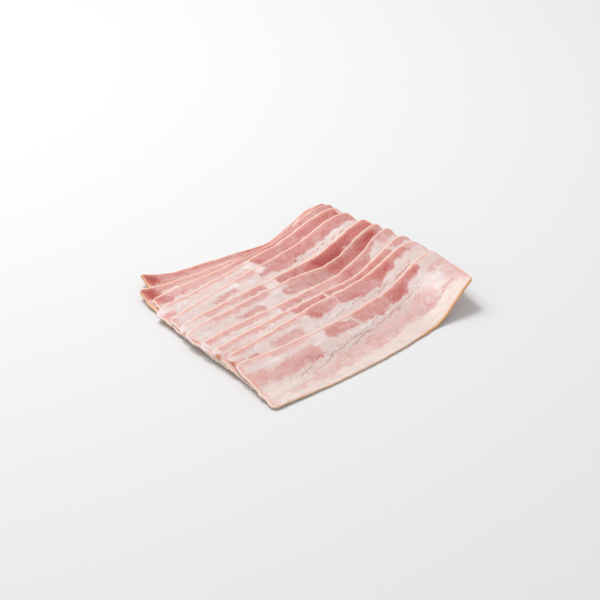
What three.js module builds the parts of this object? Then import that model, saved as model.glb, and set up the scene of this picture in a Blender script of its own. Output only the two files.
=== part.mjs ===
// Sliced streaky bacon, as it lies when it is taken from its pack: eleven raw rashers laid like
// roof shingles, each one over the one before it and a finger's breadth further on.
//
// Millimetres, +Z up. X runs along the rashers, from their near cut ends to their far ones, and Y
// runs across them, towards the first rasher laid. The rashers lie flat on the ground plane, z = 0,
// over most of their length. Their far ends climb, reach a crest and droop again, and the near
// corner of the first two is turned up.
import * as THREE from 'three';

// One rasher
const RASHER_WIDTH = 39.4;
const RASHER_THICKNESS = 1.25;
const NEAR_CORNER_RADIUS = 4.2;
const FAR_CORNER_RADIUS = 2.6;
// The rows behind a cut end follow its rounded corners over this length
const CORNER_FADE = 12;

// Air left between two rashers that touch
const LAYER_GAP = 0.32;

// The fat edge of each rasher is a smooth line through five stations along X, and its sideways
// place at each is given, from the first rasher laid to the last. With it go the X of the two cut
// ends, and how far the near cut runs forward over the rasher's width.
const FIRST_STATION = -75;
const STATION_STEP = 40;
const RASHERS = [
  { edge: [90.7, 81.4, 71.9, 60.9, 53.2], near: -41.5, far: 82.5, slant: 9 },
  { edge: [75.6, 69.9, 62.3, 57.5, 51.9], near: -52.7, far: 83.0, slant: 10 },
  { edge: [62.4, 60.1, 56.8, 54.7, 48.6], near: -53.5, far: 83.8, slant: 9 },
  { edge: [49.5, 48.5, 49.9, 50.6, 41.8], near: -62.0, far: 83.2, slant: 5 },
  { edge: [35.6, 37.4, 39.2, 39.6, 34.2], near: -63.3, far: 83.4, slant: 5 },
  { edge: [26.2, 26.1, 23.5, 21.1, 21.3], near: -66.8, far: 84.2, slant: 3 },
  { edge: [18.4, 17.7, 15.8, 10.6, 11.3], near: -69.3, far: 84.0, slant: 2 },
  { edge: [4.7, 4.2, 0.9, 0.8, 3.9], near: -70.6, far: 87.3, slant: 2 },
  { edge: [-4.8, -5.5, -6.8, -8.8, -6.9], near: -71.0, far: 90.4, slant: 4 },
  { edge: [-14.9, -15.1, -13.9, -15.0, -14.9], near: -69.6, far: 88.5, slant: 6 },
  { edge: [-23.6, -29.9, -33.3, -33.1, -30.5], near: -72.2, far: 85.3, slant: 9 },
];
// The near cut's slant is spread over this length of the rasher
const NEAR_SLANT_FADE = 30;
// Over a rasher's width, its far cut curves this far back
const FAR_SLANT = 12.4;
const FAR_SLANT_POWER = 1.5;
const FAR_SLANT_START = 20;

// The climb at the far end: where it starts, where its crest is, how high the crest stands at the
// middle of the fan and at its sides, and how fast it droops past the crest
const CLIMB_START = 36;
const CLIMB_CREST = 79;
const CREST_HEIGHT = 7.7;
const CREST_SIDE_RISE = 8;
const FAN_MIDDLE = -5;
const FAN_HALF_WIDTH = 62;
const DROOP = 0.022;

// The turned-up near corner of the first two rashers, outside a circle about the fan's middle
const TURN_UP_RADIUS = 74;
const TURN_UP_REACH = 24;
const TURN_UP_HEIGHT = 10;
const TURN_UP_FADE = [-5, -35];

// Past a rasher's near end and past its rind side, what lies over it stays level for a moment and
// then sinks a layer over these lengths, or over one pitch where the rashers are further apart
const LEVEL_PAST_END = 2;
const LEVEL_PAST_SIDE = 0.6;
const NEAR_SETTLE = 11;
const SIDE_SETTLE = 14;

// The fan's own middle, which the whole is moved by to stand over the origin
const CENTRE_X = 4.99;
const CENTRE_Y = 4.475;

// Grid of one rasher: its columns across, closer together at the two sides, and the rows that all
// rashers share, closer together at the near ends and on the climb
const COLUMNS = [0, 0.04, 0.12, 0.24, 0.36, 0.48, 0.6, 0.72, 0.84, 0.95, 1];
const NEAR_ROW = 4.6;
const FLAT_START = -26;
const FLAT_ROW = 9;
const CLIMB_ROW = 4.4;
const ROW_CLEARANCE = 1.5;

const LEAN_PINK = new THREE.Color('#d9a39b');
const FAT_CREAM = new THREE.Color('#e8cfc4');

function smooth(value) {
  const t = Math.min(Math.max(value, 0), 1);
  return t * t * (3 - 2 * t);
}

// Sideways place of a rasher's fat edge: a cubic through the stations, with the slope at each
// taken from its two neighbours
function edgeAt(rasher, x) {
  const y = RASHERS[rasher].edge;
  const last = y.length - 1;
  const along = (x - FIRST_STATION) / STATION_STEP;
  const i = Math.min(Math.max(Math.floor(along), 0), last - 1);
  const t = along - i;
  const slope = (n) => {
    const before = Math.max(n - 1, 0);
    const after = Math.min(n + 1, last);
    return (y[after] - y[before]) / (after - before);
  };
  return (
    (2 * t ** 3 - 3 * t ** 2 + 1) * y[i] +
    (t ** 3 - 2 * t ** 2 + t) * slope(i) +
    (3 * t ** 2 - 2 * t ** 3) * y[i + 1] +
    (t ** 3 - t ** 2) * slope(i + 1)
  );
}

// Height of what the lowest rasher lies on
function bedHeight(x, y) {
  const side = Math.abs(y - FAN_MIDDLE) / FAN_HALF_WIDTH;
  const crest = CREST_HEIGHT + CREST_SIDE_RISE * side ** 3;
  const climb = crest * smooth((x - CLIMB_START) / (CLIMB_CREST - CLIMB_START));
  const droop = DROOP * Math.max(x - CLIMB_CREST, 0) ** 2;
  if (y < 0) return climb - droop;
  const outside = Math.max((Math.hypot(x, y) - TURN_UP_RADIUS) / TURN_UP_REACH, 0);
  const fade = smooth((x - TURN_UP_FADE[0]) / (TURN_UP_FADE[1] - TURN_UP_FADE[0]));
  return climb - droop + TURN_UP_HEIGHT * outside ** 2 * fade;
}

// How much of a whole layer the given rasher makes under whatever lies over it at (x, y): all of
// one where it is, fading to nothing past its rind side and past its near end
function layerShare(rasher, x, y) {
  const edge = edgeAt(rasher, x);
  const settle = Math.max(edge - edgeAt(rasher + 1, x), SIDE_SETTLE);
  const pastSide = edge - RASHER_WIDTH - LEVEL_PAST_SIDE - y;
  const across = Math.min(Math.max(1 - pastSide / settle, 0), 1);
  const { near, slant } = RASHERS[rasher];
  const nearEnd = near - (slant * (edge - y)) / RASHER_WIDTH;
  const along = smooth((x - nearEnd + LEVEL_PAST_END) / NEAR_SETTLE + 1);
  return 0.5 * (across + smooth(across)) * along;
}

function underside(rasher, x, y) {
  let layers = 0;
  for (let below = 0; below < rasher; below += 1) {
    layers += layerShare(below, x, y);
  }
  return bedHeight(x, y) + layers * (RASHER_THICKNESS + LAYER_GAP);
}

// How far a rounded corner sets the cut end back, at a distance from the rasher's side
function cornerSetBack(distance, radius) {
  const inward = Math.max(radius - distance, 0);
  return radius - Math.sqrt(radius ** 2 - inward ** 2);
}

// X of the rows between the two cut ends
function rowsBetween(from, to) {
  const rows = [];
  for (let x = FLAT_START - NEAR_ROW; x > from; x -= NEAR_ROW) rows.unshift(x);
  for (let x = FLAT_START; x < CLIMB_START; x += FLAT_ROW) rows.push(x);
  for (let x = CLIMB_START; x < to; x += CLIMB_ROW) rows.push(x);
  return rows.filter((x) => x > from);
}

// Plan position of a point on the row at the given X, v across the rasher from 0 to 1. The shape of
// each cut end fades over the rows beside it.
function planPoint(rasher, rowX, v) {
  const { near, far, slant } = RASHERS[rasher];
  const fromSide = Math.min(v, 1 - v) * RASHER_WIDTH;
  const nearFade = Math.max(1 - (rowX - near) / CORNER_FADE, 0);
  const slantFade = Math.max(1 - (rowX - near) / NEAR_SLANT_FADE, 0);
  const farFade = Math.max(1 - (far - rowX) / CORNER_FADE, 0);
  const nearCut = cornerSetBack(fromSide, NEAR_CORNER_RADIUS) * nearFade - slant * v * slantFade;
  const farShape = cornerSetBack(fromSide, FAR_CORNER_RADIUS);
  const back = smooth((rowX - FAR_SLANT_START) / (far - FAR_SLANT_START));
  const farCut = farShape * farFade + FAR_SLANT * v ** FAR_SLANT_POWER * back;
  const x = rowX + nearCut - farCut;
  return [x, edgeAt(rasher, x) - v * RASHER_WIDTH];
}

// The rasher's points, row by row from the near cut to the far one
function planRows(rasher) {
  const { near, far } = RASHERS[rasher];
  const between = rowsBetween(near + ROW_CLEARANCE, far - ROW_CLEARANCE);
  return [near, ...between, far].map((rowX) => COLUMNS.map((v) => planPoint(rasher, rowX, v)));
}

// A closed slab on the rasher's grid: an upper and a lower sheet joined by a wall all round
function rasherGeometry(rasher) {
  const positions = [];
  const indices = [];
  const plan = planRows(rasher);
  const lastRow = plan.length - 1;
  const width = COLUMNS.length;
  const sheetSize = plan.length * width;
  for (const rise of [RASHER_THICKNESS, 0]) {
    for (const [x, y] of plan.flat()) {
      positions.push(x - CENTRE_X, y - CENTRE_Y, underside(rasher, x, y) + rise);
    }
  }
  const quad = (a, b, c, d) => indices.push(a, b, c, a, c, d);
  for (let row = 0; row < lastRow; row += 1) {
    for (let column = 0; column < width - 1; column += 1) {
      const a = row * width + column;
      const b = a + width;
      quad(a, a + 1, b + 1, b);
      quad(sheetSize + a, sheetSize + b, sheetSize + b + 1, sheetSize + a + 1);
    }
  }
  const rim = [];
  for (let column = 0; column < width - 1; column += 1) rim.push(column);
  for (let row = 0; row < lastRow; row += 1) rim.push(row * width + width - 1);
  for (let column = width - 1; column > 0; column -= 1) rim.push(lastRow * width + column);
  for (let row = lastRow; row > 0; row -= 1) rim.push(row * width);
  rim.forEach((here, i) => {
    const next = rim[(i + 1) % rim.length];
    quad(here, sheetSize + here, sheetSize + next, next);
  });
  const geometry = new THREE.BufferGeometry();
  geometry.setAttribute('position', new THREE.Float32BufferAttribute(positions, 3));
  geometry.setIndex(indices);
  geometry.computeVertexNormals();
  return geometry;
}

function rasherMaterial(rasher) {
  const fatShare = rasher / (RASHERS.length - 1);
  const color = LEAN_PINK.clone().lerp(FAT_CREAM, 0.6 * fatShare);
  return new THREE.MeshStandardMaterial({ color, roughness: 0.42, metalness: 0 });
}

const bacon = new THREE.Group();
bacon.name = 'sliced_bacon';
RASHERS.forEach((_, rasher) => {
  const mesh = new THREE.Mesh(rasherGeometry(rasher), rasherMaterial(rasher));
  mesh.name = `rasher_${String(rasher + 1).padStart(2, '0')}`;
  bacon.add(mesh);
});

export default bacon;
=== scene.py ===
# %% [markdown]
# # A fan of raw streaky bacon
#
# Eleven thin rashers of cured pork belly lie like roof shingles, each one over the one before it.
# This lesson dresses the plain slabs of the imported model: every rasher gets a fine mesh with a soft
# cut edge, and a marbling of rose lean and cream fat that follows the meat.
#
# The imported model is the fixed frame. It is loaded first.

import bpy
import numpy as np
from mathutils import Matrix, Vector


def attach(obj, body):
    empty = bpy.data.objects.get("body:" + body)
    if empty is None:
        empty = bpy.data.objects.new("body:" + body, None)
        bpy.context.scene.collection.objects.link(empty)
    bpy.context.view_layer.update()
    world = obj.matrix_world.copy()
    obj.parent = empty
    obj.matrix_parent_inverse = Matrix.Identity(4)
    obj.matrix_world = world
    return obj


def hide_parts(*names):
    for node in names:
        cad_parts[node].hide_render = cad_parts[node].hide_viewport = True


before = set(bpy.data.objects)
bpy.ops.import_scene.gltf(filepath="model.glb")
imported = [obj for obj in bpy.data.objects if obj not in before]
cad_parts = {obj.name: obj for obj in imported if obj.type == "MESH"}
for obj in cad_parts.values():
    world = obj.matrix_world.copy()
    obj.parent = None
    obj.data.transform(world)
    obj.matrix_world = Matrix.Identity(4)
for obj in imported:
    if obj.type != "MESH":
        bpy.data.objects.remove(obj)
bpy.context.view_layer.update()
print("nodes:", ", ".join(sorted(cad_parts)))

# %% [markdown]
# ## Units and small helpers
#
# Blender works in metres here, but a rasher is easier to think about in millimetres, so shapes are
# worked out in millimetres and scaled once, where they become mesh points. `smooth` is the usual
# S-shaped step from 0 to 1. `linear` turns a colour picked from a screen into the linear light
# that shaders work in, by the standard curve of such screens.

# %% Helpers for numbers and colours
MM = 0.001


def smooth(value):
    t = np.clip(value, 0.0, 1.0)
    return t * t * (3 - 2 * t)


def linear(red, green, blue):
    channels = np.array([red, green, blue]) / 255
    curve = np.where(channels <= 0.04045, channels / 12.92, ((channels + 0.055) / 1.055) ** 2.4)
    return (*(float(c) for c in curve), 1.0)


print("a quarter of the way along the step:", smooth(0.25))
print("a screen's middle grey in linear light:", round(linear(128, 128, 128)[0], 3))

# %% [markdown]
# ## The camera
#
# The picture was taken with a longish lens from about 31 degrees above the table, looking across
# the rashers at a slant. In the frame, X runs along the rashers, so the camera stands well round to
# their near left. It is placed by its distance, its height angle and its turn about the target.

# %% Place the camera
CAMERA_LENS = 100.0
CAMERA_DISTANCE = 957.2 * MM
CAMERA_ELEVATION = np.radians(31.4)
CAMERA_TURN = np.radians(-47.0)
CAMERA_TARGET = Vector((4.47, -0.64, 0.0)) * MM

level = np.cos(CAMERA_ELEVATION)
camera_back = Vector(
    (np.sin(CAMERA_TURN) * level, -np.cos(CAMERA_TURN) * level, np.sin(CAMERA_ELEVATION))
)
bpy.ops.object.camera_add(location=CAMERA_TARGET + camera_back * CAMERA_DISTANCE)
camera = bpy.context.object
camera.name = "camera"
camera.data.lens = CAMERA_LENS
camera.rotation_mode = "QUATERNION"
camera.rotation_quaternion = (-camera_back).to_track_quat("-Z", "Y")
bpy.context.scene.camera = camera
print("camera stands", round(CAMERA_DISTANCE, 3), "m from the target")

# %% [markdown]
# ## How the fan lies
#
# A rasher's fat edge is a smooth line through five stations along X. These are the same lines as in
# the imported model, given from the first rasher laid to the last, with the X of its two cut ends and
# how far the near cut runs forward over the rasher's width. The whole fan is later moved so that
# its middle stands over the origin.

# %% The rashers' lines
WIDTH = 39.4
THICKNESS = 1.25
LAYER_GAP = 0.32
FIRST_STATION = -75.0
STATION_STEP = 40.0
CENTRE = np.array([4.99, 4.475])
FAN = [
    {"edge": [90.7, 81.4, 71.9, 60.9, 53.2], "near": -41.5, "far": 82.5, "slant": 9},
    {"edge": [75.6, 69.9, 62.3, 57.5, 51.9], "near": -52.7, "far": 83.0, "slant": 10},
    {"edge": [62.4, 60.1, 56.8, 54.7, 48.6], "near": -53.5, "far": 83.8, "slant": 9},
    {"edge": [49.5, 48.5, 49.9, 50.6, 41.8], "near": -62.0, "far": 83.2, "slant": 5},
    {"edge": [35.6, 37.4, 39.2, 39.6, 34.2], "near": -63.3, "far": 83.4, "slant": 5},
    {"edge": [26.2, 26.1, 23.5, 21.1, 21.3], "near": -66.8, "far": 84.2, "slant": 3},
    {"edge": [18.4, 17.7, 15.8, 10.6, 11.3], "near": -69.3, "far": 84.0, "slant": 2},
    {"edge": [4.7, 4.2, 0.9, 0.8, 3.9], "near": -70.6, "far": 87.3, "slant": 2},
    {"edge": [-4.8, -5.5, -6.8, -8.8, -6.9], "near": -71.0, "far": 90.4, "slant": 4},
    {"edge": [-14.9, -15.1, -13.9, -15.0, -14.9], "near": -69.6, "far": 88.5, "slant": 6},
    {"edge": [-23.6, -29.9, -33.3, -33.1, -30.5], "near": -72.2, "far": 85.3, "slant": 9},
]
print(len(FAN), "rashers, the longest", max(r["far"] - r["near"] for r in FAN), "mm")


# %% Follow a rasher's edge
def edge_at(rasher, x):
    """Sideways place of the fat edge: a cubic whose slopes come from the neighbouring stations."""
    y = np.array(FAN[rasher]["edge"])
    slopes = np.gradient(y)
    along = (np.asarray(x, float) - FIRST_STATION) / STATION_STEP
    i = np.clip(np.floor(along).astype(int), 0, len(y) - 2)
    t = along - i
    start = (2 * t**3 - 3 * t**2 + 1) * y[i] + (t**3 - 2 * t**2 + t) * slopes[i]
    end = (3 * t**2 - 2 * t**3) * y[i + 1] + (t**3 - t**2) * slopes[i + 1]
    return start + end


print("the last two edges lie", round(float(edge_at(9, 0.0) - edge_at(10, 0.0)), 1), "mm apart")

# %% [markdown]
# The lowest rasher lies on a bed that is flat over most of its length, climbs to a crest near the
# far ends and droops past it. The crest stands highest at the two sides of the fan, and the near
# corner of the first two rashers is turned up.

# %% Height of the bed
CLIMB_START = 36.0
CLIMB_CREST = 79.0
CREST_HEIGHT = 7.7
CREST_SIDE_RISE = 8.0
FAN_MIDDLE = -5.0
FAN_HALF_WIDTH = 62.0
DROOP = 0.022
TURN_UP_RADIUS = 74.0
TURN_UP_REACH = 24.0
TURN_UP_HEIGHT = 10.0
TURN_UP_FROM_X = -5.0
TURN_UP_TO_X = -35.0


def bed_height(x, y):
    crest = CREST_HEIGHT + CREST_SIDE_RISE * (np.abs(y - FAN_MIDDLE) / FAN_HALF_WIDTH) ** 3
    climb = crest * smooth((x - CLIMB_START) / (CLIMB_CREST - CLIMB_START))
    climb = climb - DROOP * np.maximum(x - CLIMB_CREST, 0) ** 2
    outside = np.maximum((np.hypot(x, y) - TURN_UP_RADIUS) / TURN_UP_REACH, 0)
    fade = smooth((x - TURN_UP_FROM_X) / (TURN_UP_TO_X - TURN_UP_FROM_X))
    turned_up = TURN_UP_HEIGHT * outside**2 * fade
    return climb + np.where(y < 0, 0, turned_up)


print("the crest at the fan's middle is", float(bed_height(CLIMB_CREST, FAN_MIDDLE)), "mm high")

# %% [markdown]
# A rasher adds one layer to whatever lies over it. Past its rind side and past its near end that
# layer stays level for a moment and then fades out, and this is what makes shingled slices lie at a
# slant.

# %% Count the layers below
LEVEL_PAST_SIDE = 0.6
LEVEL_PAST_END = 2.0
SIDE_SETTLE = 14.0
NEAR_SETTLE = 11.0


def layer_share(rasher, x, y):
    edge = edge_at(rasher, x)
    settle = np.maximum(edge - edge_at(rasher + 1, x), SIDE_SETTLE)
    across = np.clip(1 - (edge - WIDTH - LEVEL_PAST_SIDE - y) / settle, 0, 1)
    near_end = FAN[rasher]["near"] - FAN[rasher]["slant"] * (edge - y) / WIDTH
    along = smooth((x - near_end + LEVEL_PAST_END) / NEAR_SETTLE + 1)
    return 0.5 * (across + smooth(across)) * along


def layers_under(rasher, x, y):
    return sum((layer_share(below, x, y) for below in range(rasher)), np.zeros_like(x))


middle_of_last = edge_at(10, 0.0) - WIDTH / 2
print("layers under the last rasher's middle:", round(float(layers_under(10, 0.0, middle_of_last)), 2))

# %% [markdown]
# ## Natural unevenness
#
# Meat is never quite regular. `wander` is a smooth random field: random values on a coarse square
# lattice, blended between the lattice points. `wander_fine` adds finer and fainter fields to it,
# one octave after another. The seed fixes the values, so every run of the script gives the same
# meat.

# %% A smooth random field
LATTICE = 64


def wander(x, y, seed):
    values = np.random.default_rng(seed).uniform(-1, 1, (LATTICE, LATTICE))
    column = np.floor(x).astype(int)
    row = np.floor(y).astype(int)
    s = smooth(x - column)
    t = smooth(y - row)
    a = values[row % LATTICE, column % LATTICE]
    b = values[row % LATTICE, (column + 1) % LATTICE]
    c = values[(row + 1) % LATTICE, column % LATTICE]
    d = values[(row + 1) % LATTICE, (column + 1) % LATTICE]
    return (a * (1 - s) + b * s) * (1 - t) + (c * (1 - s) + d * s) * t


def wander_fine(x, y, seed, octaves=3):
    total = np.zeros_like(x)
    for octave in range(octaves):
        total += wander(x * 2**octave, y * 2**octave, seed + octave) / 2**octave
    return total / (2 - 2 ** (1 - octaves))


sample = wander_fine(np.linspace(0, 50, 500), np.zeros(500), seed=1)
print("the field runs from", round(float(sample.min()), 2), "to", round(float(sample.max()), 2))

# %% [markdown]
# ## Where the lean lies
#
# Streaky bacon is cut across a pork belly, so each rasher shows the same few muscles, a little
# shifted from slice to slice. A patch of lean is given by its extent along the rasher (X, in the
# fan's own millimetres), its extent across it (from the fat edge), a slope, and its tone, which
# says how rosy it is. Outside the patches there is fat.
#
# A painted image could say the same. Patches with names for their sizes were chosen because each
# one can be moved or paled alone, and because they stay sharp at any distance.

# %% Lean of the first four rashers
# Each: X from, X to, across from, across to, slope, tone
# On the climb, past X = 35, the deep tones are partly painted shade, where the slices face away from
# the light and catch less sheen; so is the deeper tone along the fat edge of the first rasher.
LEAN = [
    [
        (-47, -33, -3, 8.6, 0.25, 1.16),
        (-37, -22, 6.4, 10.8, 0.0, 0.85),
        (-34, 26, -3, 5.8, -0.02, 0.8),
        (-24, 92, 5.6, 34, 0.0, 0.48),
        (20, 56, -2, 5.8, -0.02, 1.05),
        (54, 92, -2, 5.8, -0.02, 0.7),
    ],
    [
        (-57, -43, -3, 11.2, 0.25, 1.16),
        (-45, 20, -3, 5.6, -0.04, 0.6),
        (-32, 92, 6.2, 34, 0.0, 0.34),
        (20, 58, -2, 4.6, 0.0, 1.12),
        (64, 92, -2, 4.6, 0.0, 0.8),
    ],
    [
        (-55, -43.5, 1.2, 9.8, 0.1, 1.0),
        (-46, 6, 0.8, 7.4, -0.04, 0.5),
        (0, 28, -1, 4.6, -0.03, 0.76),
        (22, 56, -2, 4.4, 0.0, 0.98),
        (52, 68, -1, 5.4, 0.05, 1.0),
        (68, 90, -1, 6.4, 0.0, 0.8),
    ],
    [
        (-62, -54.5, 5.4, 11, 0.0, 0.62),
        (-52, 12, 0.6, 3.0, 0.0, 0.26),
        (-14, 8, 7.2, 10, 0.0, 0.3),
        (15, 52, 0.6, 9.8, 0.0, 1.0),
        (46, 80.5, 0.8, 9.0, -0.05, 1.12),
    ],
]
print(sum(len(patches) for patches in LEAN), "patches on the first", len(LEAN), "rashers")

# %% Lean of the middle four rashers
LEAN += [
    [
        (-64, -59.5, -1, 4.4, 0.0, 0.5),
        (-34.5, -13.5, 6.2, 9.8, 0.0, 0.55),
        (-10, 5, 0.6, 5.2, 0.0, 0.36),
        (4.5, 17, 6.2, 10, 0.0, 0.85),
        (12.5, 33, 0.6, 14, 0.0, 0.88),
        (30, 88, 0.6, 9.6, -0.02, 0.98),
    ],
    [
        (-47, -17, 1.0, 5.2, 0.0, 0.46),
        (-20, -3, 1.4, 5.6, 0.02, 0.72),
        (6.4, 36, 0.9, 9.0, 0.02, 0.98),
        (33, 57.3, 0.6, 12, 0.0, 1.1),
        (56.9, 86, 0.8, 9.6, 0.0, 1.1),
    ],
    [
        (-70, -67.4, 6.0, 12, 0.0, 1.1),
        (-48, -6, 0.8, 4.6, 0.0, 0.5),
        (-38, -17, 7.8, 12, 0.04, 0.6),
        (1, 14, 3.2, 10.6, -0.1, 0.66),
        (9, 37, 0.8, 11.2, 0.0, 0.68),
        (34, 58.7, 0.9, 9.6, 0.0, 0.95),
        (58.3, 78, 0.9, 9.6, 0.0, 1.1),
        (75, 86, 0.6, 6.6, 0.0, 0.6),
    ],
    [
        (-67, -20, 0.9, 4.8, 0.0, 0.44),
        (-12, 15, 0.7, 6.0, 0.0, 0.62),
        (14, 35, 0.7, 7.0, 0.0, 0.5),
        (32, 61, 0.8, 9.6, 0.0, 0.82),
        (58, 71, 0.6, 3.8, 0.0, 0.85),
        (73, 92, 0.8, 6.8, 0.0, 0.46),
    ],
]
print(sum(len(patches) for patches in LEAN), "patches on the first", len(LEAN), "rashers")

# %% Lean of the last three rashers
LEAN += [
    [
        (-69, -56, 6.8, 10, 0.0, 0.42),
        (-66, -13, 0.9, 4.4, 0.0, 0.38),
        (-10.5, 14, 0.9, 5.6, 0.0, 0.94),
        (16, 42, 0.6, 5.2, 0.0, 0.9),
        (41.5, 71, 0.7, 6.0, 0.0, 0.98),
        (73.5, 92, 0.6, 5.0, 0.0, 0.75),
    ],
    [
        (-73, -9, 0.7, 3.4, 0.0, 0.4),
        (-68.5, -62, 7.6, 9.4, 0.0, 0.6),
        (-60, -53.5, 8.0, 10.4, 0.0, 0.9),
        (-42, -18.5, 7.6, 14, 0.05, 0.42),
        (-9, 5, 1.4, 10.2, 0.0, 0.86),
        (3, 15, 1.4, 9.6, 0.0, 0.66),
        (16, 47, 0.7, 12, 0.0, 0.86),
        (44.5, 62, 0.9, 10, 0.0, 1.0),
        (59, 77.5, 0.7, 6.8, -0.04, 0.92),
        (76, 90, 0.6, 5.6, 0.0, 0.4),
    ],
    [
        (-74, -24, 1.2, 5.2, 0.0, 0.22),
        (-77, -47.5, 13.0, 21.8, 0.0, 0.46),
        (-67.5, -61.5, 10.4, 16, 0.0, 0.46),
        (-76, -69.5, 9.2, 16, 0.0, 0.4),
        (-51, -26, 9.2, 20.2, -0.1, 0.5),
        (-15, 1, 1.4, 10.6, -0.12, 0.74),
        (-2, 7, 3.8, 11.8, 0.0, 0.74),
        (8.2, 34.4, 0.6, 12, 0.0, 0.76),
        (34.8, 53, 0.6, 11.2, -0.06, 0.9),
        (49, 67, 0.3, 6.8, -0.08, 1.0),
        (67, 81, 9.4, 15, 0.05, 0.36),
        (69.5, 83, 16, 35.5, 0.0, 0.16),
    ],
]
print(sum(len(patches) for patches in LEAN), "patches on all", len(LEAN), "rashers")

# %% The second muscle
# It runs along the rind side of every rasher, and only the last one shows it whole
LOWER_MUSCLE = [
    (-65, -41, 30.2, 34.4, -0.08, 0.14),
    (-45, -21, 26.6, 33.0, -0.12, 0.14),
    (-26, 5, 22.6, 32.2, -0.03, 0.14),
    (1, 19, 20.8, 31.4, -0.03, 0.16),
    (14, 45, 18.4, 28.8, 0.0, 0.18),
    (41, 60, 16.8, 29.6, 0.0, 0.24),
    (48, 61, 26.8, 29.0, 0.0, 0.8),
    (62, 70, 26.2, 28.2, 0.0, 0.7),
]
print(len(LOWER_MUSCLE), "patches in the second muscle")

# %% [markdown]
# A patch isn't a hard mask. Its cover rises softly from fat to lean with the distance into it, and
# the shader adds fine noise to that cover before it decides between the two. This gives the ragged
# edge that real lean has.

# %% Distance into a patch
CORNER_SHARE = 0.3
LEAST_CORNER = 1.0
LARGEST_CORNER = 3.5


def patch_distance(x, across, patch):
    """Distance into a patch with round corners, in mm: above zero inside it."""
    x_from, x_to, from_edge, to_edge, slope, _ = patch
    narrower = min(x_to - x_from, to_edge - from_edge)
    corner = np.clip(CORNER_SHARE * narrower, LEAST_CORNER, LARGEST_CORNER)
    middle = (x_from + x_to) / 2
    dx = np.abs(x - middle) - (x_to - x_from) / 2 + corner
    drift = slope * (x - middle)
    dw = np.abs(across - drift - (from_edge + to_edge) / 2) - (to_edge - from_edge) / 2 + corner
    outside = np.hypot(np.maximum(dx, 0), np.maximum(dw, 0))
    return corner - outside - np.minimum(np.maximum(dx, dw), 0)


depth = float(patch_distance(30.0, 6.0, LEAN[3][3]))
print("a point in a deep patch of the fourth rasher lies", round(depth, 1), "mm inside it")

# %% [markdown]
# ## Soft spots
#
# Some things fade out softly: the darker hearts of some patches, where the muscle is deeper red and,
# on the climb, painted shade deepens it; the whiter places in the fat, some of them painted glints;
# and the few places that are wet enough to shine. A few near ends also get a small red spot of
# painted shade, for the dark gap between two layers where light comes through the meat, and no
# pale rim covers it.
#
# The lists from here on are given by the rasher's place in the fan, counted from 0, and only for the
# rashers that have such a thing.

# %% Dark hearts of the lean, and painted shade on the climb
# Each: X and distance across of its middle, its reach along and across, strength
# On the climb, from X = 42 to 68, these spots are partly deeper muscle and partly painted shade
HEARTS_AND_CLIMB_SHADE = {
    0: [(-41, 3, 9, 7, 0.32), (-8, 3, 22, 4, 0.2)],
    1: [(-50, 4, 9, 7, 0.34)],
    2: [(-50, 5, 6, 5, 0.15)],
    3: [(55, 5, 9, 5, 0.12), (24, 5, 9, 5, -0.08)],
    4: [(24, 7, 9, 5, 0.08), (55, 4, 8, 4, 0.06), (-26, 9.5, 8, 2, 0.25)],
    5: [(46, 5.5, 14, 7, 0.9), (66, 4, 12, 5, 0.2)],
    6: [(46, 5, 11, 5, 0.28), (68, 4.5, 10, 5, 0.26), (22, 9.5, 9, 2.5, 0.14)],
    7: [(42, 6, 7, 4, 0.25), (53, 4, 7, 4, 0.12)],
    8: [(0, 3, 9, 3, 0.1), (53, 3, 12, 3, 0.1)],
    9: [
        (-2, 7, 7, 5, 0.22), (53, 5, 9, 5, 0.46), (26, 8, 10, 4, 0.12),
        (-2.6, 9.5, 0.9, 0.9, 0.8),
    ],
    10: [
        (45, 7.5, 9, 5, 0.45), (58, 2.5, 9, 3, 0.3), (-8, 8, 6, 3.5, 0.16),
        (20, 9, 13, 4, 0.12), (-40, 16, 14, 4, 0.2),
    ],
}
print(sum(len(spots) for spots in HEARTS_AND_CLIMB_SHADE.values()), "darker places in the lean")

# %% White places in the fat, and painted glints
# Each: X and distance across of its middle, its reach along and across, strength
# Painted glints and highlights: in 4 the two small spots at X 38 and 45, in 9 the one at X 12, in 10
# the one at X 63 and the thin line along the rind. The rest are white fat.
WHITE_FAT_AND_GLINTS = {
    1: [(-36, 7, 9, 3, 0.5)],
    3: [(10, 4, 6, 6, 0.6), (4, 8, 12, 3, 0.4), (-45, 6, 14, 4, 0.25)],
    4: [
        (-28, 3.2, 13, 2.4, 0.8), (-12, 4.5, 9, 2.4, 0.8), (-2, 8, 8, 3, 0.5), (10, 3.4, 7, 3, 0.6),
        (38, 10.3, 1.8, 0.9, 1.2), (45, 12.4, 1.6, 0.8, 1.2), (60, 11, 10, 1.4, 0.3),
    ],
    5: [(1, 4, 5, 5, 0.5), (-58, 4, 7, 4, 0.3)],
    6: [(-10, 9, 14, 3, 0.7), (-2, 3.4, 6, 3, 0.7)],
    7: [
        (-32, 5.6, 24, 1.5, 0.7), (-58, 6, 10, 3, 0.4), (66, 7, 9, 3, 0.4), (72, 3, 2.5, 5, 0.5),
    ],
    8: [(-28, 5.0, 26, 1.3, 0.7), (-60, 5, 8, 3, 0.4), (15, 3, 2, 4, 0.5)],
    9: [(-12, 12, 11, 4, 0.5), (12, 13.4, 14, 1.8, 0.9), (46, 12.0, 16, 1.3, 0.7)],
    10: [
        (-48, 8, 14, 4, 0.45), (-22, 9, 9, 6, 0.35), (12, 13.6, 22, 2, 0.4), (63, 20, 11, 9, 0.3),
        (75, 15.4, 8, 1.3, 0.9), (7.4, 6, 1.2, 6, 0.4), (-20, 24, 24, 1.6, 0.4),
        (68, 37.4, 15, 0.9, 0.9),
    ],
}
print(sum(len(spots) for spots in WHITE_FAT_AND_GLINTS.values()), "white places in the fat")
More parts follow.
